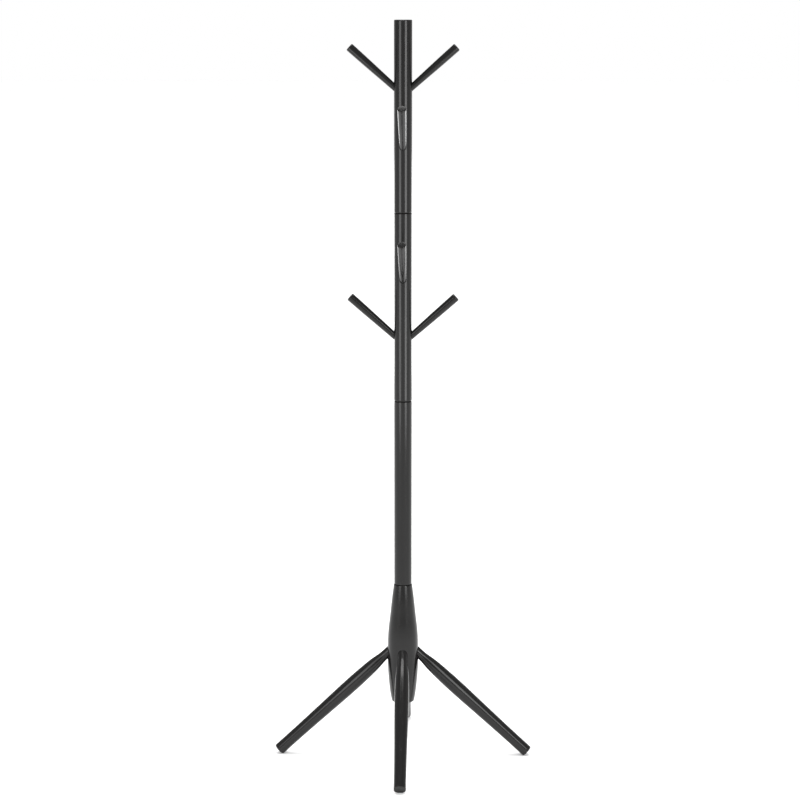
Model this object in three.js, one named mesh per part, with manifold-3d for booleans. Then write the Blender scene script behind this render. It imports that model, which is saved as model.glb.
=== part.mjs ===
// A standing coat rack of black lacquered wood that comes apart for packing.
// Three round pole sections screw together end to end, the lowest screws into a turned hub,
// four turned legs screw into the hub, and eight tapered pegs screw into the two upper sections.
// Millimetres, +Z up. The origin is on the floor, on the pole's axis. The front faces -Y.
import * as THREE from "three";
import { mergeVertices } from "three/addons/utils/BufferGeometryUtils.js";
import Module from "manifold-3d";

const wasm = await Module();
wasm.setup();

// ---- Driving dimensions ----
const GAP = 0.3; // air left between two pieces that meet
const TOP_HEIGHT = 1750;
const SECTION_LENGTH = 443;
const SECTION_COUNT = 3;
const POLE_DIAMETER = 42;
const POLE_END_ROUND = 2.4;

const HUB_LENGTH = 288;
const HUB_TOP_DIAMETER = 44.2;
const HUB_BELLY_DIAMETER = 73.6;
const HUB_FOOT_DIAMETER = 54.2;

const LEG_SLOPE = 42.9; // degrees below level
const LEG_START_HEIGHT = 252; // where the leg's axis leaves the hub's surface
const LEG_NECK_DIAMETER = 22.8;
const LEG_BELLY_DIAMETER = 34.4;
const LEG_ANKLE_DIAMETER = 28.6;
const LEG_TENON = 13;

const PAD_DIAMETER = 27.6;
const PAD_THICKNESS = 2.5;
const PAD_FLAT_CUT = 1.2; // how far the pad's lowest edge is worn flat where it stands

const PEG_SLOPE = 41.5; // degrees above level
const PEG_LENGTH = 138; // from the pole's surface to the tip, along the peg
const PEG_BASE_DIAMETER = 15.4;
const PEG_TIP_DIAMETER = 19.8;
const PEG_TIP_ROUND = 2.6;
const PEG_TENON = 7.7;
const PEG_LEVELS = [153, 288]; // where a peg's axis meets the pole, below its section's top

// Each threaded joint: a hanger bolt with its wood thread in one piece, and a flanged insert
// in the other that takes its machine thread.
const POLE_JOINT = { bolt: 8, held: 32, screwed: 24, insert: 14, insertLength: 20, flange: 18 };
const LEG_JOINT = { bolt: 8, held: 30, screwed: 14, insert: 12, insertLength: 15, flange: 15 };
const PEG_JOINT = { bolt: 6, held: 20, screwed: 9, insert: 10, insertLength: 10, flange: 12 };
const FLANGE_THICKNESS = 1.5;
const BORE_RELIEF = 1; // depth a blind bore has to spare past its bolt
const SOCKET_SLACK = 0.5; // a socket's radius beyond its tenon's

// Flat faces round each turned piece.
const FACES = { pole: 24, hub: 28, leg: 20, peg: 16, pad: 24, bolt: 8, insert: 10 };

// ---- Worked out from them ----
const HUB_TOP = TOP_HEIGHT - SECTION_COUNT * SECTION_LENGTH;
const HUB_BOTTOM = HUB_TOP - HUB_LENGTH;
const POLE_RADIUS = POLE_DIAMETER / 2;
const LEG_START_RADIUS = HUB_BELLY_DIAMETER / 2;
const LEG_ANGLE = THREE.MathUtils.degToRad(LEG_SLOPE);
const PEG_ANGLE = THREE.MathUtils.degToRad(PEG_SLOPE);
const PAD_FACE_HEIGHT = (PAD_DIAMETER / 2) * Math.cos(LEG_ANGLE) - PAD_FLAT_CUT;
const LEG_AND_PAD_LENGTH = (LEG_START_HEIGHT - PAD_FACE_HEIGHT) / Math.sin(LEG_ANGLE);
const LEG_LENGTH = LEG_AND_PAD_LENGTH - PAD_THICKNESS - GAP;

const SIDES = {
  front: -90,
  right: 0,
  back: 90,
  left: 180,
};

// ---- Materials ----
const BLACK_WOOD = new THREE.MeshStandardMaterial({ color: 0x161617, roughness: 0.38, metalness: 0 });
const RUBBER = new THREE.MeshStandardMaterial({ color: 0x101010, roughness: 0.85, metalness: 0 });
const STEEL = new THREE.MeshStandardMaterial({ color: 0xb4b6b8, roughness: 0.35, metalness: 1 });
const BRASS = new THREE.MeshStandardMaterial({ color: 0xb99a5a, roughness: 0.35, metalness: 1 });

// ---- Shape helpers ----
// Points of a round edge: a quarter circle of the given radius about (centreR, centreZ).
function roundEdge(centreR, centreZ, radius, fromDegrees, toDegrees, steps = 2) {
  return Array.from({ length: steps + 1 }, (_, i) => {
    const angle = THREE.MathUtils.degToRad(fromDegrees + ((toDegrees - fromDegrees) * i) / steps);
    return [centreR + radius * Math.cos(angle), centreZ + radius * Math.sin(angle)];
  });
}

// Points of a smooth turned outline through the given [radius, height] stations.
function turnedOutline(stations, steps) {
  const curve = new THREE.SplineCurve(stations.map(([r, z]) => new THREE.Vector2(r, z)));
  return curve.getPoints(steps).map((p) => [p.x, p.y]);
}

// A solid turned about +Z. The outline runs from the axis at the bottom, outside, to the axis at the top.
function turned(outline, sides) {
  const points = outline.map(([r, z]) => new THREE.Vector2(r, z));
  return new THREE.LatheGeometry(points, sides).rotateX(Math.PI / 2);
}

function solidOf(geometry) {
  const bare = geometry.clone();
  bare.deleteAttribute("normal");
  bare.deleteAttribute("uv");
  const merged = mergeVertices(bare, 1e-4);
  return new wasm.Manifold(
    new wasm.Mesh({
      numProp: 3,
      vertProperties: merged.attributes.position.array,
      triVerts: new Uint32Array(merged.index.array),
    }),
  );
}

function geometryOf(solid) {
  const mesh = solid.getMesh();
  const geometry = new THREE.BufferGeometry();
  geometry.setAttribute("position", new THREE.BufferAttribute(mesh.vertProperties, 3));
  geometry.setIndex(new THREE.BufferAttribute(mesh.triVerts, 1));
  return geometry;
}

// Where a leg or peg leaves its post: +Z of the placed piece runs along its axis, outwards.
// slope is its angle above level, in radians.
function placement(side, radius, height, slope) {
  const turn = THREE.MathUtils.degToRad(SIDES[side]);
  const matrix = new THREE.Matrix4().makeRotationZ(turn);
  matrix.multiply(new THREE.Matrix4().makeTranslation(radius, 0, height));
  return matrix.multiply(new THREE.Matrix4().makeRotationY(Math.PI / 2 - slope));
}

// A stepped drill that runs inwards from `start` outside the surface, through [radius, depth] steps.
function drill(start, steps, faces) {
  const outline = [[0, -steps.at(-1)[1]]];
  for (let i = steps.length - 1; i >= 0; i--) {
    outline.push([steps[i][0], -steps[i][1]]);
    outline.push([steps[i][0], i ? -steps[i - 1][1] : start]);
  }
  outline.push([0, start]);
  return turned(outline, faces);
}

const rack = new THREE.Group();

function add(name, geometry, material, matrix) {
  const mesh = new THREE.Mesh(geometry, material);
  mesh.name = name;
  if (matrix) mesh.applyMatrix4(matrix);
  rack.add(mesh);
}

// ---- Threaded joints ----
// The bolt's z = 0 is the face of the piece that holds it; its machine thread stands up from there.
function hangerBolt(joint) {
  const radius = joint.bolt / 2;
  const point = radius * 1.4;
  const chamfer = radius * 0.25;
  const outline = [
    [0, -joint.held],
    [radius, point - joint.held],
    [radius, joint.screwed - chamfer],
    [radius - chamfer, joint.screwed],
    [0, joint.screwed],
  ];
  return turned(outline, FACES.bolt);
}

// The insert's z = 0 is the outer face of its flange; its barrel runs up from there.
function flangedInsert(joint) {
  const bore = joint.bolt / 2 + GAP;
  const outline = [
    [bore, 0],
    [joint.flange / 2, 0],
    [joint.flange / 2, FLANGE_THICKNESS],
    [joint.insert / 2, FLANGE_THICKNESS],
    [joint.insert / 2, joint.insertLength],
    [bore, joint.insertLength],
    [bore, 0],
  ];
  return turned(outline, FACES.insert);
}

const heldBore = (joint) => ({ radius: joint.bolt / 2 + GAP, depth: joint.held + BORE_RELIEF });

// [radius, depth] steps of the hole that takes an insert, from a face at the given depth.
function insertSteps(joint, faceDepth) {
  return [
    [joint.flange / 2 + GAP, faceDepth + FLANGE_THICKNESS + 2 * GAP],
    [joint.insert / 2 + GAP, faceDepth + joint.insertLength + 2 * GAP],
  ];
}

// The hole in a round post for a leg's or peg's tenon, with the seat of its insert at the bottom.
function socket(postRadius, tenonDiameter, tenonLength, joint, faces) {
  const floor = tenonLength + GAP;
  const mouth = [tenonDiameter / 2 + SOCKET_SLACK, floor];
  return drill(postRadius, [mouth, ...insertSteps(joint, floor)], faces);
}

// A leg or peg with the bolt that it holds, and the insert in the post that the bolt screws into.
function addScrewedIn(kind, place, geometry, joint, tenonLength, matrix) {
  const facingInwards = (depth) =>
    matrix
      .clone()
      .multiply(new THREE.Matrix4().makeTranslation(0, 0, -depth))
      .multiply(new THREE.Matrix4().makeRotationX(Math.PI));
  add(`${kind}_${place}`, geometry, BLACK_WOOD, matrix);
  add(`${kind}_bolt_${place}`, hangerBolt(joint), STEEL, facingInwards(tenonLength));
  add(`${kind}_insert_${place}`, flangedInsert(joint), BRASS, facingInwards(tenonLength + 2 * GAP));
}

// ---- Pole sections ----
// z = 0 is the top face of the piece below. The underside takes an insert, the top end a bolt.
function poleSection(hasBoltOnTop) {
  const bottom = GAP;
  const top = SECTION_LENGTH;
  const corner = POLE_RADIUS - POLE_END_ROUND;
  const bolt = heldBore(POLE_JOINT);
  const boltRoom = POLE_JOINT.screwed + BORE_RELIEF;
  const [flangeSeat, barrel] = insertSteps(POLE_JOINT, bottom);
  const outline = [
    [0, boltRoom],
    [bolt.radius, boltRoom],
    [bolt.radius, barrel[1]],
    [barrel[0], barrel[1]],
    [barrel[0], flangeSeat[1]],
    [flangeSeat[0], flangeSeat[1]],
    [flangeSeat[0], bottom],
    ...roundEdge(corner, bottom + POLE_END_ROUND, POLE_END_ROUND, -90, 0),
    ...roundEdge(corner, top - POLE_END_ROUND, POLE_END_ROUND, 0, 90),
  ];
  if (hasBoltOnTop) {
    outline.push([bolt.radius, top], [bolt.radius, top - bolt.depth], [0, top - bolt.depth]);
  } else {
    outline.push([0, top]);
  }
  return turned(outline, FACES.pole);
}

// Which sides carry pegs at the upper and lower level of each section.
const PEGS = {
  upper: [
    ["left", "right"],
    ["front", "back"],
  ],
  middle: [
    ["front", "back"],
    ["left", "right"],
  ],
};

function pegPlaces(sectionName, sectionTop) {
  return (PEGS[sectionName] ?? []).flatMap((sides, level) =>
    sides.map((side) => ({
      side,
      matrix: placement(side, POLE_RADIUS, sectionTop - PEG_LEVELS[level], PEG_ANGLE),
    })),
  );
}

function peg() {
  const base = PEG_BASE_DIAMETER / 2;
  const tip = PEG_TIP_DIAMETER / 2;
  const bore = heldBore(PEG_JOINT);
  const boreTop = bore.depth - PEG_TENON;
  const outline = [
    [0, boreTop],
    [bore.radius, boreTop],
    [bore.radius, -PEG_TENON],
    [base - 0.6, -PEG_TENON],
    ...turnedOutline(
      [
        [base - 0.1, 0.6 - PEG_TENON],
        [base + 0.1, 8],
        [base + (tip - base) * 0.62, PEG_LENGTH * 0.5],
        [tip, PEG_LENGTH - PEG_TIP_ROUND],
      ],
      5,
    ),
    ...roundEdge(tip - PEG_TIP_ROUND, PEG_LENGTH - PEG_TIP_ROUND, PEG_TIP_ROUND, 30, 90),
    [0, PEG_LENGTH],
  ];
  return turned(outline, FACES.peg);
}

["lower", "middle", "upper"].forEach((name, index) => {
  const bottom = HUB_TOP + index * SECTION_LENGTH;
  let section = solidOf(poleSection(name !== "upper").translate(0, 0, bottom));
  for (const { side, matrix } of pegPlaces(name, bottom + SECTION_LENGTH)) {
    const hole = socket(POLE_RADIUS, PEG_BASE_DIAMETER, PEG_TENON, PEG_JOINT, FACES.peg);
    section = section.subtract(solidOf(hole.applyMatrix4(matrix)));
    addScrewedIn("peg", `${name}_${side}`, peg(), PEG_JOINT, PEG_TENON, matrix);
  }
  const upTo = (height) => new THREE.Matrix4().makeTranslation(0, 0, height);
  add(`pole_${name}_section`, geometryOf(section), BLACK_WOOD);
  add(`pole_bolt_${name}`, hangerBolt(POLE_JOINT), STEEL, upTo(bottom));
  add(`pole_insert_${name}`, flangedInsert(POLE_JOINT), BRASS, upTo(bottom + 2 * GAP));
});

// ---- Hub ----
function hubBody() {
  const topRadius = HUB_TOP_DIAMETER / 2;
  const belly = HUB_BELLY_DIAMETER / 2;
  const foot = HUB_FOOT_DIAMETER / 2;
  const bolt = heldBore(POLE_JOINT);
  const topRound = 1.6;
  const footRound = 3;
  const outline = [
    [0, HUB_BOTTOM],
    ...roundEdge(foot - footRound, HUB_BOTTOM + footRound, footRound, -90, 0),
    ...turnedOutline(
      [
        [foot + 1.4, HUB_BOTTOM + 9],
        [foot + 4.7, HUB_BOTTOM + 30],
        [foot + 7.6, HUB_BOTTOM + 58],
        [belly - 0.15, HUB_BOTTOM + 89],
        [belly, HUB_BOTTOM + 118],
        [belly - 0.15, HUB_BOTTOM + 143],
        [belly - 1.6, HUB_BOTTOM + 174],
        [belly - 6.1, HUB_BOTTOM + 214],
        [topRadius + 5.2, HUB_TOP - 42],
        [topRadius + 0.1, HUB_TOP - 2],
      ],
      12,
    ),
    ...roundEdge(topRadius - topRound, HUB_TOP - topRound, topRound, 30, 90),
    [bolt.radius, HUB_TOP],
    [bolt.radius, HUB_TOP - bolt.depth],
    [0, HUB_TOP - bolt.depth],
  ];
  return turned(outline, FACES.hub);
}

// ---- Legs and foot pads ----
function leg() {
  const neck = LEG_NECK_DIAMETER / 2;
  const belly = LEG_BELLY_DIAMETER / 2;
  const ankle = LEG_ANKLE_DIAMETER / 2;
  const endRound = 1;
  const bore = heldBore(LEG_JOINT);
  const boreTop = bore.depth - LEG_TENON;
  const outline = [
    [0, boreTop],
    [bore.radius, boreTop],
    [bore.radius, -LEG_TENON],
    [neck - 0.8, -LEG_TENON],
    [neck, 0.8 - LEG_TENON],
    ...turnedOutline(
      [
        [neck, 11],
        [neck + 2.2, 32],
        [belly - 0.7, 76],
        [belly, 116],
        [belly - 0.6, 172],
        [belly - 2, 246],
        [ankle + 0.1, 316],
        [ankle, LEG_LENGTH - endRound],
      ],
      8,
    ),
    [ankle - endRound, LEG_LENGTH],
    [0, LEG_LENGTH],
  ];
  return turned(outline, FACES.leg);
}

// A disc glued to the leg's end, worn level where it stands on the floor.
function footPad(matrix) {
  const radius = PAD_DIAMETER / 2;
  const outline = [
    [0, LEG_LENGTH + GAP],
    [radius, LEG_LENGTH + GAP],
    [radius, LEG_AND_PAD_LENGTH],
    [0, LEG_AND_PAD_LENGTH],
  ];
  const disc = solidOf(turned(outline, FACES.pad).applyMatrix4(matrix));
  const floorBlock = new THREE.BoxGeometry(1000, 1000, 100).translate(0, 0, -50);
  return geometryOf(disc.subtract(solidOf(floorBlock)));
}

let hub = solidOf(hubBody());
for (const side of Object.keys(SIDES)) {
  const matrix = placement(side, LEG_START_RADIUS, LEG_START_HEIGHT, -LEG_ANGLE);
  const hole = socket(LEG_START_RADIUS, LEG_NECK_DIAMETER, LEG_TENON, LEG_JOINT, FACES.leg);
  hub = hub.subtract(solidOf(hole.applyMatrix4(matrix)));
  addScrewedIn("leg", side, leg(), LEG_JOINT, LEG_TENON, matrix);
  add(`foot_pad_${side}`, footPad(matrix), RUBBER);
}
add("base_hub", geometryOf(hub), BLACK_WOOD);

export default rack;
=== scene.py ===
# A standing coat rack of black lacquered wood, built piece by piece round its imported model.
# Metres, +Z up, the origin on the floor under the pole, the front towards -Y.
import math

import bmesh
import bpy
import numpy as np
from mathutils import Matrix, Vector


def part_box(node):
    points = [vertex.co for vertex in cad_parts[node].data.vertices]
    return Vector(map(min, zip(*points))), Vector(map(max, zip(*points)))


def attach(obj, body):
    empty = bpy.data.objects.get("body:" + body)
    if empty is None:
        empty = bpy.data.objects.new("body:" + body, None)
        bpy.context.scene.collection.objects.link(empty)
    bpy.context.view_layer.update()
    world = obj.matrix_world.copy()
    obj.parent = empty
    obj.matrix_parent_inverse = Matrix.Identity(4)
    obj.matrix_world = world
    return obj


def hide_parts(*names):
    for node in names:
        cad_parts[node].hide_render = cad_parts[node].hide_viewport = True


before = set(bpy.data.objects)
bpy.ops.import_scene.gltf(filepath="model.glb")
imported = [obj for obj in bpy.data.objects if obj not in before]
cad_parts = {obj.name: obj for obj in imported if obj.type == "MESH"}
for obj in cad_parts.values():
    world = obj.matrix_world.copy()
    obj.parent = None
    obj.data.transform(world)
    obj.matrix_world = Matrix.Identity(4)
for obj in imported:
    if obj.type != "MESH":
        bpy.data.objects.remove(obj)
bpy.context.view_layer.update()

scene = bpy.context.scene

# ---- The view ----
# Someone stands well back from the rack, a little to its right, eyes just above its top,
# and looks down at the middle of it through a long lens.
VIEW_LENS = 110.25
VIEW_SENSOR = 36.0
VIEW_DISTANCE = 5.682
VIEW_HEIGHT = 1.841
VIEW_ROUND = math.radians(1.4)
VIEW_DOWN = math.radians(9.742)
VIEW_PAST_POLE = math.radians(0.0713)

view = bpy.data.cameras.new("view")
view.lens = VIEW_LENS
view.sensor_width = VIEW_SENSOR
view.clip_end = 100.0
viewer = bpy.data.objects.new("view", view)
viewer.location = (
    VIEW_DISTANCE * math.sin(VIEW_ROUND),
    -VIEW_DISTANCE * math.cos(VIEW_ROUND),
    VIEW_HEIGHT,
)
viewer.rotation_euler = (math.pi / 2 - VIEW_DOWN, 0, VIEW_ROUND + VIEW_PAST_POLE)
scene.collection.objects.link(viewer)
scene.camera = viewer


# ---- Turned hub ----
# The middle of the base is one hardwood billet turned to a long barrel, 74 mm across its belly.
# Four sockets are bored into the belly for the legs, and the top is bored for the pole's lowest bolt.
# Like all the wooden pieces it is sprayed with black lacquer and rubbed down to a satin finish.
HUB_FOOT_RADIUS = 0.0271
HUB_FOOT_ROUND = 0.003
HUB_FOOT_FLARE = 14.0  # degrees off upright where the foot's round edge runs into the barrel
HUB_TOP_RADIUS = 0.0221
HUB_TOP_ROUND = 0.0016
HUB_TOP_FLARE = 6.5
HUB_BARREL = [  # radius, height above the hub's foot
    (0.0285, 0.009),
    (0.0318, 0.030),
    (0.0347, 0.058),
    (0.03665, 0.089),
    (0.0368, 0.118),
    (0.03665, 0.143),
    (0.0352, 0.174),
    (0.0307, 0.214),
    (0.0273, 0.246),
    (0.0222, 0.286),
]
WOOD_FACES_ROUND = 160
HUB_ROW = 0.0024
HUB_FOOT_WEAR = 0.0008  # how far in from its corners an edge wears
HUB_TOP_WEAR = 0.0005

LEG_SLOPE = -42.9  # degrees above level
LEG_START_HEIGHT = 0.252
LEG_NECK_RADIUS = 0.0114
LEG_TENON = 0.013
SOCKET_SLACK = 0.0003
AIR = 0.0003  # left between two faces that meet

# Threaded joints: a hanger bolt's radius, the length held in its own piece and the length that
# stands out, and the barrel radius, length and flange radius of the insert that takes it.
POLE_JOINT = dict(bolt=0.004, held=0.032, out=0.024, barrel=0.007, length=0.020, flange=0.009)
LEG_JOINT = dict(bolt=0.004, held=0.030, out=0.014, barrel=0.006, length=0.015, flange=0.0075)
FLANGE_THICKNESS = 0.0015
BORE_RELIEF = 0.001

SIDES = {"front": -90, "right": 0, "back": 90, "left": 180}  # degrees round the pole from +X


def nodes_for(tree):
    """Returns add(kind, inputs, **settings), which puts a node in the tree and gives its first output."""

    def add(kind, inputs=None, **settings):
        node = tree.nodes.new(kind)
        for name, value in settings.items():
            setattr(node, name, value)
        for key, value in (inputs or {}).items():
            socket = next(s for i, s in enumerate(node.inputs) if s.enabled and key in (s.name, i))
            if isinstance(value, bpy.types.NodeSocket):
                tree.links.new(value, socket)
            else:
                socket.default_value = value
        return next((s for s in node.outputs if s.enabled), None)

    return add


MERGE_REACH = 1e-5
CRISP_ANGLE = math.radians(30)


def lathe_tree():
    """Turns an outline of mesh points (radius, 0, height) about +Z into a closed piece. Points may
    carry "thread" and "pitch", a screw thread's depth and pitch, and "hexagon", 1 for a hex recess."""
    tree = bpy.data.node_groups.new("lathe", "GeometryNodeTree")
    socket = tree.interface.new_socket
    socket("Outline", in_out="INPUT", socket_type="NodeSocketGeometry")
    faces_socket = socket("Faces Round", in_out="INPUT", socket_type="NodeSocketInt")
    finish_socket = socket("Finish", in_out="INPUT", socket_type="NodeSocketMaterial")
    socket("Turned Piece", in_out="OUTPUT", socket_type="NodeSocketGeometry")
    add = nodes_for(tree)
    given = tree.nodes.new("NodeGroupInput").outputs

    def number(operation, *values):
        return add("ShaderNodeMath", dict(enumerate(values)), operation=operation)

    def whole(operation, *values):
        return add("FunctionNodeIntegerMath", dict(enumerate(values)), operation=operation)

    rows = add("GeometryNodeAttributeDomainSize", {"Geometry": given["Outline"]}, component="MESH")
    columns = whole("ADD", given["Faces Round"], 1)
    sheet = add("GeometryNodeMeshGrid", {"Vertices X": columns, "Vertices Y": rows})
    index = add("GeometryNodeInputIndex")
    row = whole("MODULO", index, rows)
    turns = number("DIVIDE", whole("DIVIDE_FLOOR", index, rows), given["Faces Round"])
    angle = number("MULTIPLY", turns, math.tau)

    def on_outline(value, data_type):
        found = {"Geometry": given["Outline"], "Value": value, "Index": row}
        return add("GeometryNodeSampleIndex", found, data_type=data_type)

    def cut(name):
        value = add("GeometryNodeInputNamedAttribute", {"Name": name}, data_type="FLOAT")
        return on_outline(value, "FLOAT")

    point = on_outline(add("GeometryNodeInputPosition"), "FLOAT_VECTOR")
    radius, _, height = add("ShaderNodeSeparateXYZ", {"Vector": point}).node.outputs
    advance = number("SUBTRACT", number("DIVIDE", height, cut("pitch")), turns)
    crest = number("MULTIPLY", number("PINGPONG", advance, 0.5), 2)
    threaded = number("MULTIPLY_ADD", crest, cut("thread"), radius)
    corner = number("SUBTRACT", number("COSINE", number("PINGPONG", angle, math.pi / 6)), 1)
    cut_radius = number("DIVIDE", threaded, number("MULTIPLY_ADD", corner, cut("hexagon"), 1))
    place = {
        "X": number("MULTIPLY", cut_radius, number("COSINE", angle)),
        "Y": number("MULTIPLY", cut_radius, number("SINE", angle)),
        "Z": height,
    }
    wrapped = {"Geometry": sheet, "Position": add("ShaderNodeCombineXYZ", place)}
    closed = {"Geometry": add("GeometryNodeSetPosition", wrapped), "Distance": MERGE_REACH}
    whole_piece = {"Geometry": add("GeometryNodeMergeByDistance", closed)}
    plain = {"Geometry": add("GeometryNodeRealizeInstances", whole_piece)}
    finished = add("GeometryNodeSetMaterial", {**plain, "Material": given["Finish"]})
    add("NodeGroupOutput", {"Turned Piece": finished})
    return tree, faces_socket.identifier, finish_socket.identifier


LATHE, LATHE_FACES, LATHE_FINISH = lathe_tree()


def work_in(piece):
    """Works the piece's modifiers into its mesh, with faces outwards and its real edges kept crisp."""
    evaluated = piece.evaluated_get(bpy.context.evaluated_depsgraph_get())
    mesh = bpy.data.meshes.new_from_object(evaluated)
    if mesh.materials[0] is None:
        mesh.materials.pop(index=0)
    piece.modifiers.clear()
    piece.data = mesh
    shell = bmesh.new()
    shell.from_mesh(mesh)
    bmesh.ops.recalc_face_normals(shell, faces=shell.faces)
    shell.to_mesh(mesh)
    shell.free()
    mesh.shade_smooth()
    mesh.set_sharp_from_angle(angle=CRISP_ANGLE)


def turn_piece(name, outline, faces_round, finish, cuts=None):
    """A piece turned from the outline's (radius, height) points. cuts holds the points' thread values."""
    blank = bpy.data.meshes.new(name)
    count = len(outline)
    points = [(radius, 0, height) for radius, height in outline]
    blank.from_pydata(points, [(i, i + 1) for i in range(count - 1)], [])
    for cut, values in (cuts or {}).items():
        blank.attributes.new(cut, "FLOAT", "POINT").data.foreach_set("value", values)
    piece = bpy.data.objects.new(name, blank)
    scene.collection.objects.link(piece)
    lathe = piece.modifiers.new("lathe", "NODES")
    lathe.node_group = LATHE
    lathe[LATHE_FACES] = faces_round
    lathe[LATHE_FINISH] = finish
    work_in(piece)
    return piece


FLAT_MARGIN = 0.0003


def round_edge(centre_radius, centre_height, radius, start, end, steps=6):
    """Points of a round edge, from start to end in degrees above straight out. Where it meets a flat
    face, one more point a little further in keeps the face's light even right out to the edge."""
    angles = [math.radians(start + (end - start) * i / steps) for i in range(steps + 1)]
    points = [
        (centre_radius + radius * math.cos(a), centre_height + radius * math.sin(a)) for a in angles
    ]
    if start % 180 == 90:
        points.insert(0, (points[0][0] - FLAT_MARGIN, points[0][1]))
    if end % 180 == 90:
        points.append((points[-1][0] - FLAT_MARGIN, points[-1][1]))
    return points


def fair_line(stations, row, start_slope=None, end_slope=None):
    """Points of one even curve through (radius, height) stations, as a bent batten gives, a row apart.
    A slope is radius gained for each unit of height, and an end with none is left to run free."""
    radii, heights = np.array(stations).T
    gaps = np.diff(heights)
    rises = np.diff(radii) / gaps
    count = len(stations)
    system = np.zeros((count, count))
    wanted = np.zeros(count)
    for i in range(1, count - 1):
        system[i, i - 1 : i + 2] = gaps[i], 2 * (gaps[i - 1] + gaps[i]), gaps[i - 1]
        wanted[i] = 3 * (gaps[i] * rises[i - 1] + gaps[i - 1] * rises[i])
    for end, neighbour, slope, rise in ((0, 1, start_slope, rises[0]), (-1, -2, end_slope, rises[-1])):
        system[end, end] = 2 if slope is None else 1
        system[end, neighbour] = 1 if slope is None else 0
        wanted[end] = 3 * rise if slope is None else slope
    slopes = np.linalg.solve(system, wanted)
    line = []
    for height in np.linspace(heights[0], heights[-1], round((heights[-1] - heights[0]) / row) + 1):
        i = min(np.searchsorted(heights, height, side="right") - 1, count - 2)
        t = (height - heights[i]) / gaps[i]
        bend = slopes[i] * (1 - t) - slopes[i + 1] * t + rises[i] * (2 * t - 1)
        radius = radii[i] * (1 - t) + radii[i + 1] * t + gaps[i] * t * (1 - t) * bend
        line.append((float(radius), float(height)))
    return line


def straight(radius, start, end, row):
    """Points up a straight side, a row apart."""
    count = max(1, round((end - start) / row))
    return [(radius, start + (end - start) * i / count) for i in range(count + 1)]


def out_of_post(side, post_radius, height, slope):
    """Where a leg or a peg stands: its +Z runs out along it, from z = 0 at the post's surface."""
    turn = Matrix.Rotation(math.radians(SIDES[side]), 4, "Z")
    lean = Matrix.Rotation(math.radians(90 - slope), 4, "Y")
    return turn @ Matrix.Translation((post_radius, 0, height)) @ lean


def insert_steps(joint, face):
    """(radius, depth) of the hole for an insert, let in from a face at that depth."""
    return [
        (joint["flange"] + AIR, face + FLANGE_THICKNESS + 2 * AIR),
        (joint["barrel"] + AIR, face + joint["length"] + 2 * AIR),
    ]


DRILL_FACES_ROUND = 96


def bore_sockets(piece, places, post_radius, tenon_radius, tenon, joint, finish):
    """Bores the stepped sockets for tenons and their inserts into a post."""
    floor = tenon + AIR
    steps = [(tenon_radius + SOCKET_SLACK, floor), *insert_steps(joint, floor)]
    profile = [(0, post_radius), (steps[0][0], post_radius)]
    for i, (radius, depth) in enumerate(steps):
        profile.append((radius, -depth))
        profile.append((steps[i + 1][0] if i + 1 < len(steps) else 0, -depth))
    for number, place in enumerate(places):
        drill = turn_piece("drill", profile[::-1], DRILL_FACES_ROUND, finish)
        drill.data.transform(place)
        cut = piece.modifiers.new(f"bore {number}", "BOOLEAN")
        cut.operation = "DIFFERENCE"
        cut.solver = "EXACT"
        cut.object = drill
    drills = [cut.object for cut in piece.modifiers]
    work_in(piece)
    for drill in drills:
        bpy.data.objects.remove(drill)


BILLET_SEED = 18
billets = np.random.default_rng(BILLET_SEED)
EDGE_WEAR_REACH = 0.0016


def lay_grain(piece, place, edges=()):
    """Marks each point with where it lies in its own billet, z along the grain, and with how near it
    is to an edge that wears, given as (radius, height) on the piece."""
    points = np.empty(len(piece.data.vertices) * 3, np.float32)
    piece.data.vertices.foreach_get("co", points)
    back = np.array(place.inverted())
    local = points.reshape(-1, 3) @ back[:3, :3].T + back[:3, 3]
    radii = np.hypot(local[:, 0], local[:, 1])
    near = np.zeros(len(local))
    for radius, height in edges:
        away = np.hypot(radii - radius, local[:, 2] - height)
        near = np.maximum(near, np.exp(-((away / EDGE_WEAR_REACH) ** 2)))
    billet = local + billets.uniform(-1, 1, 3)
    spots = piece.data.attributes
    spots.new("billet", "FLOAT_VECTOR", "POINT").data.foreach_set("vector", billet.ravel())
    spots.new("edge", "FLOAT", "POINT").data.foreach_set("value", near)


def new_finish(name):
    """An empty node material: its add function, its Principled shader's sockets, and itself."""
    finish = bpy.data.materials.new(name)
    finish.use_nodes = True
    return nodes_for(finish.node_tree), finish.node_tree.nodes["Principled BSDF"].inputs, finish


GRAIN_STRETCH = 0.045  # how fast the figure changes along the grain, against across it
RING_STRETCH = 0.12
LACQUER_DEEP = (0.0042, 0.0041, 0.0041, 1)
LACQUER_THIN = (0.0080, 0.0077, 0.0075, 1)
LACQUER_WORN = (0.036, 0.030, 0.026, 1)
LACQUER_WEAR = 0.5
LACQUER_ROUGHNESS = (0.13, 0.17)
PORE_ROUGHNESS = 0.12
RUBBED_ROUGHNESS = -0.06
ORANGE_PEEL_HEIGHT = 0.34
RING_HEIGHT = 0.10
PORE_HEIGHT = -0.16
LACQUER_RELIEF = 4e-5
LACQUER_IOR = 1.38


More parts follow.
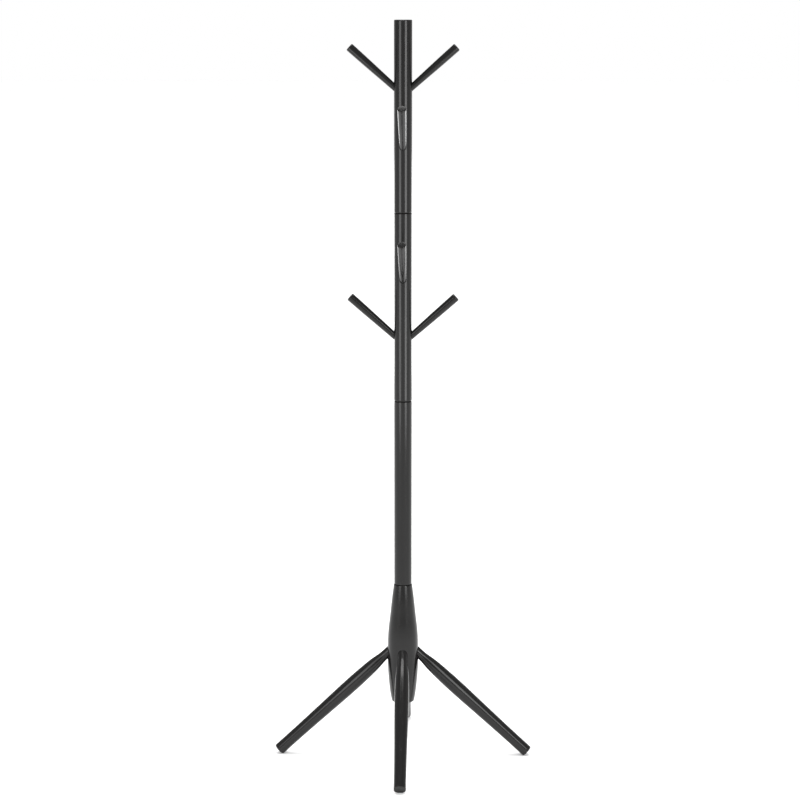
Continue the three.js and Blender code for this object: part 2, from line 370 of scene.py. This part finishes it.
def black_lacquer():
    """Satin black lacquer over close-grained hardwood. Fine pores and growth rings show through it as
    faint lines along the piece, the sprayed skin has a slight orange peel, and its edges are rubbed."""
    add, shader, finish = new_finish("black lacquered wood")
    link = finish.node_tree.links.new
    billet = add("ShaderNodeAttribute", attribute_name="billet").node.outputs["Vector"]
    edge = add("ShaderNodeAttribute", attribute_name="edge").node.outputs["Fac"]
    along = add("ShaderNodeMapping", {"Vector": billet, "Scale": (1, 1, GRAIN_STRETCH)})

    def noise(vector, scale, detail, roughness=0.5):
        settings = {"Vector": vector, "Scale": scale, "Detail": detail, "Roughness": roughness}
        return add("ShaderNodeTexNoise", settings)

    def ranged(value, low, high, to_low=0.0, to_high=1.0):
        spread = {"Value": value, "From Min": low, "From Max": high}
        return add("ShaderNodeMapRange", {**spread, "To Min": to_low, "To Max": to_high})

    def number(operation, *values):
        return add("ShaderNodeMath", dict(enumerate(values)), operation=operation)

    pores = ranged(noise(along, 900, 2, 0.6), 0.57, 0.70)
    rings_at = add("ShaderNodeMapping", {"Vector": billet, "Scale": (1, 1, RING_STRETCH)})
    ring_shape = {"Vector": rings_at, "Scale": 62, "Distortion": 2.2, "Detail": 2, "Detail Scale": 1.4}
    rings = add("ShaderNodeTexWave", ring_shape, wave_type="RINGS", rings_direction="Z").node.outputs["Fac"]
    figure = noise(along, 95, 4, 0.55)
    peel = noise(billet, 300, 1)
    clouds = noise(billet, 11, 3)
    rubbed_spots = ranged(noise(billet, 420, 3, 0.65), 0.52, 0.66)
    rubbed = number("MULTIPLY", edge, rubbed_spots)

    black = add(
        "ShaderNodeMix",
        {"Factor": figure, "A": LACQUER_DEEP, "B": LACQUER_THIN},
        data_type="RGBA",
    ).node.outputs[2]
    worn = number("MULTIPLY", rubbed, LACQUER_WEAR)
    colour = add(
        "ShaderNodeMix",
        {"Factor": worn, "A": black, "B": LACQUER_WORN},
        data_type="RGBA",
    ).node.outputs[2]
    link(colour, shader["Base Color"])

    satin = ranged(clouds, 0.3, 0.7, *LACQUER_ROUGHNESS)
    over_pores = number("MULTIPLY_ADD", pores, PORE_ROUGHNESS, satin)
    link(number("MULTIPLY_ADD", rubbed, RUBBED_ROUGHNESS, over_pores), shader["Roughness"])

    skin = number("MULTIPLY", peel, ORANGE_PEEL_HEIGHT)
    ringed = number("MULTIPLY_ADD", rings, RING_HEIGHT, skin)
    relief = number("MULTIPLY_ADD", pores, PORE_HEIGHT, ringed)
    bump = add("ShaderNodeBump", {"Strength": 0.5, "Distance": LACQUER_RELIEF, "Height": relief})
    link(bump, shader["Normal"])
    shader["IOR"].default_value = LACQUER_IOR
    return finish


BLACK_WOOD = black_lacquer()

hub_low, hub_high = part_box("base_hub")
hub_base = Matrix.Translation((0, 0, hub_low.z))
hub_length = hub_high.z - hub_low.z
belly_radius = max(radius for radius, _ in HUB_BARREL)
bolt_bore = POLE_JOINT["bolt"] + AIR
bore_floor = hub_length - POLE_JOINT["held"] - BORE_RELIEF
foot_round = round_edge(
    HUB_FOOT_RADIUS - HUB_FOOT_ROUND, HUB_FOOT_ROUND, HUB_FOOT_ROUND, -90, -HUB_FOOT_FLARE
)
top_round = round_edge(
    HUB_TOP_RADIUS - HUB_TOP_ROUND, hub_length - HUB_TOP_ROUND, HUB_TOP_ROUND, HUB_TOP_FLARE, 90
)
hub_outline = [
    (0, 0),
    *foot_round,
    *fair_line([foot_round[-1], *HUB_BARREL], HUB_ROW)[1:],
    *top_round,
    (bolt_bore, hub_length),
    (bolt_bore, bore_floor),
    (0, bore_floor),
]
hub = turn_piece("turned_hub", hub_outline, WOOD_FACES_ROUND, BLACK_WOOD)
hub.data.transform(hub_base)
leg_places = {
    side: out_of_post(side, belly_radius, LEG_START_HEIGHT, LEG_SLOPE) for side in SIDES
}
bore_sockets(
    hub, leg_places.values(), belly_radius, LEG_NECK_RADIUS, LEG_TENON, LEG_JOINT, BLACK_WOOD
)
hub_edges = [
    (HUB_FOOT_RADIUS - HUB_FOOT_WEAR, HUB_FOOT_WEAR),
    (HUB_TOP_RADIUS - HUB_TOP_WEAR, hub_length - HUB_TOP_WEAR),
]
lay_grain(hub, hub_base, hub_edges)
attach(hub, "root")
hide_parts("base_hub")


# ---- Joint hardware of the legs ----
# A zinc-plated hanger bolt stands in each leg's tenon: its coarse wood thread is driven into the leg,
# and its machine thread turns into a brass insert in the hub, flanged and let in at the socket's
# bottom. The insert has a coarse thread outside and a hexagon recess for the key that drives it.
MACHINE_PITCH = {0.004: 0.00125, 0.003: 0.001}  # by the bolt's radius
WOOD_PITCH = {0.004: 0.003, 0.003: 0.0025}
MACHINE_THREAD_DEPTH = 0.55  # of its pitch
WOOD_THREAD_DEPTH = 0.36
INSERT_PITCH = 0.0035
INSERT_THREAD = 0.0008
INNER_THREAD = 0.0002
HEXAGON_DEPTH = 0.0042
ROWS_A_PITCH = 7
BOLT_FACES_ROUND = 32
INSERT_FACES_ROUND = 48
SHANK_TOP = 0.0008  # below the face of the piece that holds the bolt, as the next two are
SHANK_FOOT = 0.0022
WOOD_THREAD_END = 0.003
INSERT_EDGE = 0.0002
INSERT_LEAD = 0.001  # plain barrel at each end of the outside thread
BORE_LEAD = 0.0004


def zinc_steel():
    """Bright zinc plating on rolled thread: cool grey, slightly mottled, with faint turned lines."""
    add, shader, finish = new_finish("zinc-plated steel")
    link = finish.node_tree.links.new
    at = add("ShaderNodeTexCoord").node.outputs["Object"]
    mottle = add("ShaderNodeTexNoise", {"Vector": at, "Scale": 900, "Detail": 3})
    scratches = add("ShaderNodeTexNoise", {"Vector": at, "Scale": 4200, "Detail": 2})
    tones = {"Factor": mottle, "A": (0.44, 0.45, 0.47, 1), "B": (0.66, 0.67, 0.68, 1)}
    link(add("ShaderNodeMix", tones, data_type="RGBA").node.outputs[2], shader["Base Color"])
    sheen = {"Value": scratches, "From Min": 0.3, "From Max": 0.7, "To Min": 0.24, "To Max": 0.42}
    link(add("ShaderNodeMapRange", sheen), shader["Roughness"])
    relief = {"Strength": 0.4, "Distance": 1e-5, "Height": scratches}
    link(add("ShaderNodeBump", relief), shader["Normal"])
    shader["Metallic"].default_value = 1.0
    return finish


def turned_brass():
    """Machined brass, a little dulled in the hollows, with fine tool marks round it."""
    add, shader, finish = new_finish("turned brass")
    link = finish.node_tree.links.new
    at = add("ShaderNodeTexCoord").node.outputs["Object"]
    tarnish = add("ShaderNodeTexNoise", {"Vector": at, "Scale": 420, "Detail": 4})
    marks = add("ShaderNodeTexNoise", {"Vector": at, "Scale": 3600, "Detail": 2})
    tones = {"Factor": tarnish, "A": (0.50, 0.34, 0.12, 1), "B": (0.74, 0.55, 0.25, 1)}
    link(add("ShaderNodeMix", tones, data_type="RGBA").node.outputs[2], shader["Base Color"])
    sheen = {"Value": tarnish, "From Min": 0.3, "From Max": 0.7, "To Min": 0.40, "To Max": 0.24}
    link(add("ShaderNodeMapRange", sheen), shader["Roughness"])
    relief = {"Strength": 0.4, "Distance": 1e-5, "Height": marks}
    link(add("ShaderNodeBump", relief), shader["Normal"])
    shader["Metallic"].default_value = 1.0
    return finish


ZINC_STEEL = zinc_steel()
BRASS = turned_brass()


def threaded_run(radius, start, end, thread, pitch):
    """(radius, height, thread, pitch) points up a thread, its first and last rows left plain."""
    rows = straight(radius, start, end, pitch / ROWS_A_PITCH)
    return [
        (r, z, 0.0 if i in (0, len(rows) - 1) else thread, pitch) for i, (r, z) in enumerate(rows)
    ]


def hanger_bolt(name, joint, place):
    """The bolt for a joint. Its z = 0 is the face of the piece that holds it."""
    radius = joint["bolt"]
    point = 1.4 * radius
    chamfer = 0.25 * radius
    machine_pitch, wood_pitch = MACHINE_PITCH[radius], WOOD_PITCH[radius]
    machine_thread = machine_pitch * MACHINE_THREAD_DEPTH
    wood_thread = wood_pitch * WOOD_THREAD_DEPTH
    rows = [
        (0, -joint["held"], 0, 1),
        (0.3 * radius, -joint["held"] + 0.3 * point, 0, 1),
        *threaded_run(
            radius - wood_thread, point - joint["held"], -WOOD_THREAD_END, wood_thread, wood_pitch
        ),
        (radius, -SHANK_FOOT, 0, 1),
        (radius, -SHANK_TOP, 0, 1),
        *threaded_run(radius - machine_thread, 0, joint["out"] - chamfer, machine_thread, machine_pitch),
        (radius - machine_thread - chamfer / 2, joint["out"], 0, 1),
        (0, joint["out"], 0, 1),
    ]
    outline = [(r, z) for r, z, _, _ in rows]
    cuts = {"thread": [row[2] for row in rows], "pitch": [row[3] for row in rows]}
    bolt = turn_piece(name, outline, BOLT_FACES_ROUND, ZINC_STEEL, cuts)
    bolt.data.transform(place)
    return bolt


def flanged_insert(name, joint, place):
    """The insert for a joint. Its z = 0 is the outer face of its flange, its barrel runs up from it."""
    bore = joint["bolt"] + AIR
    barrel = joint["barrel"]
    flange = joint["flange"]
    length = joint["length"]
    edge = INSERT_EDGE
    inner = bore - INNER_THREAD
    pitch = MACHINE_PITCH[joint["bolt"]]
    bore_rows = threaded_run(
        inner, HEXAGON_DEPTH + BORE_LEAD, length - BORE_LEAD, INNER_THREAD, pitch
    )
    root = barrel - INSERT_THREAD
    barrel_rows = threaded_run(
        root, FLANGE_THICKNESS + INSERT_LEAD, length - INSERT_LEAD, INSERT_THREAD, INSERT_PITCH
    )
    rows = [
        (bore + edge, 0, 0, 1, 1),
        (flange - edge, 0, 0, 1, 0),
        (flange, edge, 0, 1, 0),
        (flange, FLANGE_THICKNESS - edge, 0, 1, 0),
        (flange - edge, FLANGE_THICKNESS, 0, 1, 0),
        (root, FLANGE_THICKNESS, 0, 1, 0),
        *[(*row, 0) for row in barrel_rows],
        (root - edge, length, 0, 1, 0),
        (bore, length, 0, 1, 0),
        *[(*row, 0) for row in reversed(bore_rows)],
        (bore, HEXAGON_DEPTH, 0, 1, 0),
        (bore, HEXAGON_DEPTH, 0, 1, 1),
        (bore, edge, 0, 1, 1),
        (bore + edge, 0, 0, 1, 1),
    ]
    outline = [(r, z) for r, z, *_ in rows]
    cuts = {cut: [row[i] for row in rows] for i, cut in ((2, "thread"), (3, "pitch"), (4, "hexagon"))}
    insert = turn_piece(name, outline, INSERT_FACES_ROUND, BRASS, cuts)
    insert.data.transform(place)
    return insert


def fit_joint(place_name, joint, bolt_face, insert_face):
    """Makes a joint's bolt and insert at their faces, and stands them for their CAD nodes."""
    kind, _, where = place_name.partition("_")
    bolt = hanger_bolt(f"steel_bolt_{place_name}", joint, bolt_face)
    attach(bolt, "root")
    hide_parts(f"{kind}_bolt_{where}")
    insert = flanged_insert(f"brass_insert_{place_name}", joint, insert_face)
    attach(insert, "root")
    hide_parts(f"{kind}_insert_{where}")


def facing_in(place, depth):
    """A frame at that depth inside a post, its +Z running further in along a tenon's axis."""
    return place @ Matrix.Translation((0, 0, -depth)) @ Matrix.Rotation(math.pi, 4, "X")


for side, place in leg_places.items():
    fit_joint(
        f"leg_{side}", LEG_JOINT, facing_in(place, LEG_TENON), facing_in(place, LEG_TENON + 2 * AIR)
    )


# ---- Turned legs ----
# Four legs of the same hardwood, turned with a narrow neck that enters the hub, a full belly a third
# of the way down and a slimmer ankle. Each screws into the hub on its bolt, 43 degrees below level.
LEG_BORE_TOP = LEG_JOINT["held"] + BORE_RELIEF - LEG_TENON
LEG_BELLY_RADIUS = 0.0172
LEG_ANKLE_RADIUS = 0.0143
LEG_END_ROUND = 0.001
PAD_RADIUS = 0.0138
PAD_THICKNESS = 0.0025
PAD_FLAT_CUT = 0.0012  # how far the pad's lowest edge is worn level
LEG_ROW = 0.004
LEG_FACES_ROUND = 128
LEG_NECK_END = 0.011
LEG_TENON_CHAMFER = 0.0008
LEG_END_WEAR = 0.0003

leg_fall = math.radians(-LEG_SLOPE)
pad_face_height = PAD_RADIUS * math.cos(leg_fall) - PAD_FLAT_CUT
leg_and_pad = (LEG_START_HEIGHT - pad_face_height) / math.sin(leg_fall)
leg_length = leg_and_pad - PAD_THICKNESS - AIR
leg_bore = LEG_JOINT["bolt"] + AIR
leg_stations = [
    (LEG_NECK_RADIUS, LEG_NECK_END),
    (LEG_NECK_RADIUS + 0.0022, 0.032),
    (LEG_BELLY_RADIUS - 0.0007, 0.076),
    (LEG_BELLY_RADIUS, 0.116),
    (LEG_BELLY_RADIUS - 0.0006, 0.172),
    (LEG_BELLY_RADIUS - 0.002, 0.246),
    (LEG_ANKLE_RADIUS + 0.0001, 0.316),
    (LEG_ANKLE_RADIUS, leg_length - LEG_END_ROUND),
]
leg_outline = [
    (0, LEG_BORE_TOP),
    (leg_bore, LEG_BORE_TOP),
    (leg_bore, -LEG_TENON),
    (LEG_NECK_RADIUS - LEG_TENON_CHAMFER, -LEG_TENON),
    *straight(LEG_NECK_RADIUS, LEG_TENON_CHAMFER - LEG_TENON, LEG_NECK_END, LEG_ROW),
    *fair_line(leg_stations, LEG_ROW, start_slope=0, end_slope=0)[1:],
    *round_edge(LEG_ANKLE_RADIUS - LEG_END_ROUND, leg_length - LEG_END_ROUND, LEG_END_ROUND, 0, 90, 4)[1:],
    (0, leg_length),
]
for side, place in leg_places.items():
    leg = turn_piece(f"turned_leg_{side}", leg_outline, LEG_FACES_ROUND, BLACK_WOOD)
    leg.data.transform(place)
    lay_grain(leg, place, [(LEG_ANKLE_RADIUS - LEG_END_WEAR, leg_length - LEG_END_WEAR)])
    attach(leg, "root")
    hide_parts(f"leg_{side}")


# ---- Foot pads ----
# A moulded rubber disc is glued to the end of each leg. It has a rounded rim and a dished middle,
# and its lowest edge has settled level on the floor.
PAD_RIM_ROUND = 0.0005
PAD_DISH_RADIUS = 0.0085
PAD_DISH_DEPTH = 0.0006
PAD_FACES_ROUND = 96


def black_rubber():
    """Matt black moulded rubber, finely pebbled, greyed with floor dust."""
    add, shader, finish = new_finish("black rubber")
    link = finish.node_tree.links.new
    at = add("ShaderNodeTexCoord").node.outputs["Object"]
    pebbles = add("ShaderNodeTexVoronoi", {"Vector": at, "Scale": 2200}).node.outputs["Distance"]
    dust = add("ShaderNodeTexNoise", {"Vector": at, "Scale": 260, "Detail": 5})
    dusted = {"Value": dust, "From Min": 0.45, "From Max": 0.75}
    tones = {
        "Factor": add("ShaderNodeMapRange", dusted),
        "A": (0.011, 0.011, 0.011, 1),
        "B": (0.028, 0.027, 0.026, 1),
    }
    link(add("ShaderNodeMix", tones, data_type="RGBA").node.outputs[2], shader["Base Color"])
    dullness = {"Value": dust, "From Min": 0.3, "From Max": 0.7, "To Min": 0.62, "To Max": 0.85}
    link(add("ShaderNodeMapRange", dullness), shader["Roughness"])
    relief = {"Strength": 0.5, "Distance": 4e-5, "Height": pebbles}
    link(add("ShaderNodeBump", relief), shader["Normal"])
    return finish


RUBBER = black_rubber()
pad_outline = [
    (0, 0),
    (PAD_RADIUS, 0),
    *round_edge(PAD_RADIUS - PAD_RIM_ROUND, PAD_THICKNESS - PAD_RIM_ROUND, PAD_RIM_ROUND, 0, 90, 5),
    (PAD_DISH_RADIUS, PAD_THICKNESS),
    *round_edge(PAD_DISH_RADIUS, PAD_THICKNESS, PAD_DISH_DEPTH, 180, 270, 4),
    (0, PAD_THICKNESS - PAD_DISH_DEPTH),
]
for side, place in leg_places.items():
    pad = turn_piece(f"rubber_foot_{side}", pad_outline, PAD_FACES_ROUND, RUBBER)
    pad.data.transform(place @ Matrix.Translation((0, 0, leg_length + AIR)))
    shell = bmesh.new()
    shell.from_mesh(pad.data)
    everything = [*shell.verts, *shell.edges, *shell.faces]
    level = bmesh.ops.bisect_plane(
        shell, geom=everything, plane_co=(0, 0, 0), plane_no=(0, 0, -1), clear_outer=True
    )
    rim = [e for e in level["geom_cut"] if isinstance(e, bmesh.types.BMEdge)]
    bmesh.ops.edgenet_fill(shell, edges=rim)
    bmesh.ops.recalc_face_normals(shell, faces=shell.faces)
    shell.to_mesh(pad.data)
    shell.free()
    pad.data.set_sharp_from_angle(angle=CRISP_ANGLE)
    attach(pad, "root")
    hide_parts(f"foot_pad_{side}")


# ---- Pole sections ----
# The pole is three equal lengths of 42 mm dowel with eased ends. The lower two and the hub hold a
# bolt in their top, and each length has a brass insert let into its underside, so they stack and
# screw tight. The upper two are bored for the pegs.
POLE_RADIUS = 0.021
POLE_END_ROUND = 0.0024
POLE_ROW = 0.006
POLE_STRAIGHT_START = 0.0008  # past the round edge
POLE_EASED_BY = 0.0007
POLE_FOOT_WEAR = 0.001
PEG_SLOPE = 41.5
PEG_BASE_RADIUS = 0.0077
PEG_TENON = 0.0077
PEG_JOINT = dict(bolt=0.003, held=0.020, out=0.009, barrel=0.005, length=0.010, flange=0.006)
PEG_LEVELS = (0.153, 0.288)  # below the top of a section, where a peg's axis meets its surface
PEG_SIDES = {
    "upper": (("left", "right"), ("front", "back")),
    "middle": (("front", "back"), ("left", "right")),
}


def pole_outline(base, length, holds_bolt):
    """A section's outline above the piece below, from the top of its insert's hole round to its top."""
    bolt_room = POLE_JOINT["out"] + BORE_RELIEF
    (flange_seat, seat_depth), (barrel, barrel_depth) = insert_steps(POLE_JOINT, base)
    corner = POLE_RADIUS - POLE_END_ROUND
    side_start = POLE_END_ROUND + POLE_STRAIGHT_START
    outline = [
        (0, bolt_room),
        (bolt_bore, bolt_room),
        (bolt_bore, barrel_depth),
        (barrel, barrel_depth),
        (barrel, seat_depth),
        (flange_seat, seat_depth),
        (flange_seat, base),
        *round_edge(corner, base + POLE_END_ROUND, POLE_END_ROUND, -90, 0, 8),
        *straight(POLE_RADIUS, base + side_start, length - side_start, POLE_ROW),
        *round_edge(corner, length - POLE_END_ROUND, POLE_END_ROUND, 0, 90, 8),
    ]
    if holds_bolt:
        floor = length - POLE_JOINT["held"] - BORE_RELIEF
        return [*outline, (bolt_bore, length), (bolt_bore, floor), (0, floor)]
    return [*outline, (0, length)]


peg_places = {}
for name in ("lower", "middle", "upper"):
    low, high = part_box(f"pole_{name}_section")
    below = low.z - AIR
    length = high.z - below
    foot = Matrix.Translation((0, 0, below))
    outline = pole_outline(AIR, length, holds_bolt=name != "upper")
    section = turn_piece(f"pole_length_{name}", outline, WOOD_FACES_ROUND, BLACK_WOOD)
    section.data.transform(foot)
    here = {
        f"{name}_{side}": out_of_post(side, POLE_RADIUS, high.z - PEG_LEVELS[level], PEG_SLOPE)
        for level, sides in enumerate(PEG_SIDES.get(name, ()))
        for side in sides
    }
    if here:
        bore_sockets(
            section, here.values(), POLE_RADIUS, PEG_BASE_RADIUS, PEG_TENON, PEG_JOINT, BLACK_WOOD
        )
    peg_places.update(here)
    eased = POLE_RADIUS - POLE_EASED_BY
    lay_grain(section, foot, [(eased, POLE_FOOT_WEAR), (eased, length - POLE_EASED_BY)])
    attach(section, "root")
    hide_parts(f"pole_{name}_section")
    fit_joint(f"pole_{name}", POLE_JOINT, foot, foot @ Matrix.Translation((0, 0, 2 * AIR)))


# ---- Pegs ----
# Eight tapered pegs, slim where they enter the pole and thicker at the rounded tip, so that a coat's
# loop can't slide off. Each is turned from dowel and screws into the pole on a small hanger bolt.
PEG_LENGTH = 0.138
PEG_TIP_RADIUS = 0.0099
PEG_TIP_ROUND = 0.0026
PEG_TIP_CROWN = 0.0001
PEG_ROW = 0.004
PEG_FACES_ROUND = 96
PEG_TENON_CHAMFER = 0.0006
PEG_TIP_WEAR = (0.0006, 0.001)  # in from its side, down from its end

peg_bore = PEG_JOINT["bolt"] + AIR
peg_bore_top = PEG_JOINT["held"] + BORE_RELIEF - PEG_TENON
peg_swell = PEG_TIP_RADIUS - PEG_BASE_RADIUS
tip_start = PEG_LENGTH - PEG_TIP_ROUND
peg_stations = [
    (PEG_BASE_RADIUS - 0.0001, PEG_TENON_CHAMFER - PEG_TENON),
    (PEG_BASE_RADIUS + 0.0001, 0.008),
    (PEG_BASE_RADIUS + 0.62 * peg_swell, PEG_LENGTH / 2),
    (PEG_TIP_RADIUS, tip_start),
]
flat_radius = PEG_TIP_RADIUS - PEG_TIP_ROUND
crown = [
    (flat_radius * share, PEG_LENGTH - PEG_TIP_CROWN * share**2) for share in (0.75, 0.5, 0.25, 0)
]
peg_outline = [
    (0, peg_bore_top),
    (peg_bore, peg_bore_top),
    (peg_bore, -PEG_TENON),
    (PEG_BASE_RADIUS - PEG_TENON_CHAMFER, -PEG_TENON),
    *fair_line(peg_stations, PEG_ROW),
    *round_edge(flat_radius, tip_start - PEG_TIP_CROWN, PEG_TIP_ROUND, 8, 90, 8),
    *crown,
]
for place_name, place in peg_places.items():
    peg = turn_piece(f"turned_peg_{place_name}", peg_outline, PEG_FACES_ROUND, BLACK_WOOD)
    peg.data.transform(place)
    lay_grain(peg, place, [(PEG_TIP_RADIUS - PEG_TIP_WEAR[0], PEG_LENGTH - PEG_TIP_WEAR[1])])
    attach(peg, "root")
    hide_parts(f"peg_{place_name}")
    fit_joint(
        f"peg_{place_name}", PEG_JOINT, facing_in(place, PEG_TENON), facing_in(place, PEG_TENON + 2 * AIR)
    )


# ---- Floor ----
# A plain white studio floor, wide enough to run out of sight on every side.
FLOOR_HALF_WIDTH = 40.0


def white_floor():
    """Matt white vinyl with the faintest unevenness."""
    add, shader, finish = new_finish("white floor")
    link = finish.node_tree.links.new
    at = add("ShaderNodeTexCoord").node.outputs["Object"]
    scuffs = add("ShaderNodeTexNoise", {"Vector": at, "Scale": 3, "Detail": 4})
    tones = {"Factor": scuffs, "A": (0.90, 0.90, 0.90, 1), "B": (0.92, 0.92, 0.92, 1)}
    link(add("ShaderNodeMix", tones, data_type="RGBA").node.outputs[2], shader["Base Color"])
    shader["Roughness"].default_value = 0.9
    shader["Specular IOR Level"].default_value = 0.0
    return finish


half = FLOOR_HALF_WIDTH
floor_mesh = bpy.data.meshes.new("floor")
floor_mesh.from_pydata(
    [(-half, -half, 0), (half, -half, 0), (half, half, 0), (-half, half, 0)], [], [(0, 1, 2, 3)]
)
floor_mesh.materials.append(white_floor())
floor = bpy.data.objects.new("floor", floor_mesh)
scene.collection.objects.link(floor)


# ---- Light ----
# Two tall softboxes stand in front, left and right, and draw two soft lines down the pole. One hangs
# level high overhead, and two low ones stand well behind. The room's walls are white to the eye, but
# the gloss finds them dim on the viewer's side and lighter behind the rack.
LOUVRE_SPREAD = 130.0  # degrees


def softbox(name, degrees_round, distance, low, high, width, brightness):
    """A tall softbox, round the rack from the front towards +X, that faces the pole."""
    size = high - low
    light = bpy.data.lights.new(name, "AREA")
    light.shape = "RECTANGLE"
    light.size = width
    light.size_y = size
    light.energy = brightness * math.pi * width * size
    light.spread = math.radians(LOUVRE_SPREAD)
    box = bpy.data.objects.new(name, light)
    turn = math.radians(degrees_round)
    box.location = (distance * math.sin(turn), -distance * math.cos(turn), (low + high) / 2)
    towards_pole = Vector((0, 0, (low + high) / 2)) - box.location
    box.rotation_euler = towards_pole.to_track_quat("-Z", "Y").to_euler()
    box.visible_camera = False
    scene.collection.objects.link(box)


in_front = dict(distance=2.1, low=0.42, high=2.05)
softbox("left softbox", degrees_round=-37.0, width=0.98, brightness=2.0, **in_front)
softbox("right softbox", degrees_round=37.5, width=0.88, brightness=2.85, **in_front)
behind = dict(distance=4.5, low=0.20, high=1.10, width=1.4, brightness=2.2)
softbox("low left backlight", degrees_round=-150.0, **behind)
softbox("low right backlight", degrees_round=150.0, **behind)

HANGING_WIDTH = 5.8
HANGING_DEPTH = 4.9
HANGING_AT = (0, 1.27, 9.0)
HANGING_BRIGHTNESS = 6.6


def hanging_softbox():
    """A softbox hung level over the rack and a little behind it."""
    light = bpy.data.lights.new("hanging softbox", "AREA")
    light.shape = "RECTANGLE"
    light.size = HANGING_WIDTH
    light.size_y = HANGING_DEPTH
    light.energy = HANGING_BRIGHTNESS * math.pi * light.size * light.size_y
    box = bpy.data.objects.new("hanging softbox", light)
    box.location = HANGING_AT
    box.visible_camera = False
    scene.collection.objects.link(box)


hanging_softbox()


ROOM_SEEN = 1.0
ROOM_ON_MATT = 1.10
ROOM_WALLS_IN_GLOSS = (0.40, 0.68)  # in front, behind
ROOM_OVERHEAD_IN_GLOSS = 0.42


def white_room():
    """The room's light: white to the eye, even on matt faces, and in the gloss dim in front and
    overhead and lighter behind."""
    room = bpy.data.worlds.new("white room")
    room.use_nodes = True
    tree = room.node_tree
    tree.nodes.clear()
    add = nodes_for(tree)
    towards = add("ShaderNodeTexCoord").node.outputs["Generated"]
    _, back, up = add("ShaderNodeSeparateXYZ", {"Vector": towards}).node.outputs

    def ranged(value, low, high, to_low, to_high):
        spread = {"Value": value, "From Min": low, "From Max": high}
        settings = {**spread, "To Min": to_low, "To Max": to_high}
        return add("ShaderNodeMapRange", settings, interpolation_type="SMOOTHSTEP")

    walls = ranged(back, -0.1, 1.0, *ROOM_WALLS_IN_GLOSS)
    overhead = ranged(up, 0.15, 0.6, 0.0, 1.0)
    mixed = dict(data_type="FLOAT")
    reflected = add("ShaderNodeMix", {"Factor": overhead, "A": walls, "B": ROOM_OVERHEAD_IN_GLOSS}, **mixed)
    ray = add("ShaderNodeLightPath").node.outputs
    around = {"Factor": ray["Is Glossy Ray"], "A": ROOM_ON_MATT, "B": reflected}
    lit = add("ShaderNodeMix", around, **mixed)
    strength = add("ShaderNodeMix", {"Factor": ray["Is Camera Ray"], "A": lit, "B": ROOM_SEEN}, **mixed)
    light = add("ShaderNodeBackground", {"Color": (1, 1, 1, 1), "Strength": strength})
    add("ShaderNodeOutputWorld", {"Surface": light})
    return room


scene.world = white_room()
scene.view_settings.view_transform = "Standard"
